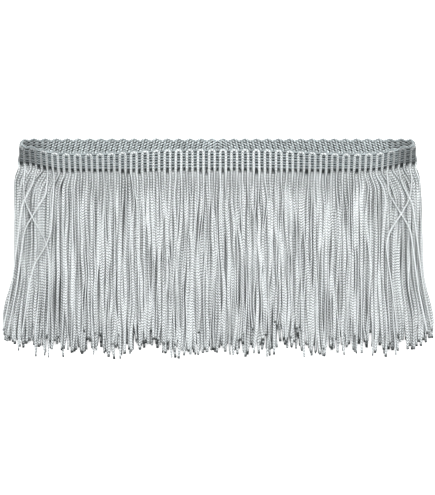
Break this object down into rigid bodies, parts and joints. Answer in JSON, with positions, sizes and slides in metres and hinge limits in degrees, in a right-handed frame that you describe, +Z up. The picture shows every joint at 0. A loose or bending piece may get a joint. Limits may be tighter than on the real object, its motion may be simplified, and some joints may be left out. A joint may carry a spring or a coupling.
{
  "type": "tassel fringe trim",
  "caption": "Chainette fringe trim: a narrow crocheted header tape with long cord strands hanging from its lower edge, laid flat as a folded loop. Sewn or glued along an edge by its tape.",
  "frame": {"origin": "on the surface that the trim lies on, below the middle of the trim's box", "axes": "+X along the tape, +Y from the strand tips to the tape, +Z up from the surface"},
  "size_m": [0.2706, 0.136, 0.0133],
  "materials": {
    "tape_yarn": "crocheted rayon gimp, cool mid grey with a soft sheen",
    "fringe_cord": "chainette rayon cord, pale silver grey with a silky sheen"
  },
  "bodies": {
    "root": {"header_tape": "tape_yarn", "fringe_front": "fringe_cord", "fringe_back": "fringe_cord"}
  },
  "joints": []
}
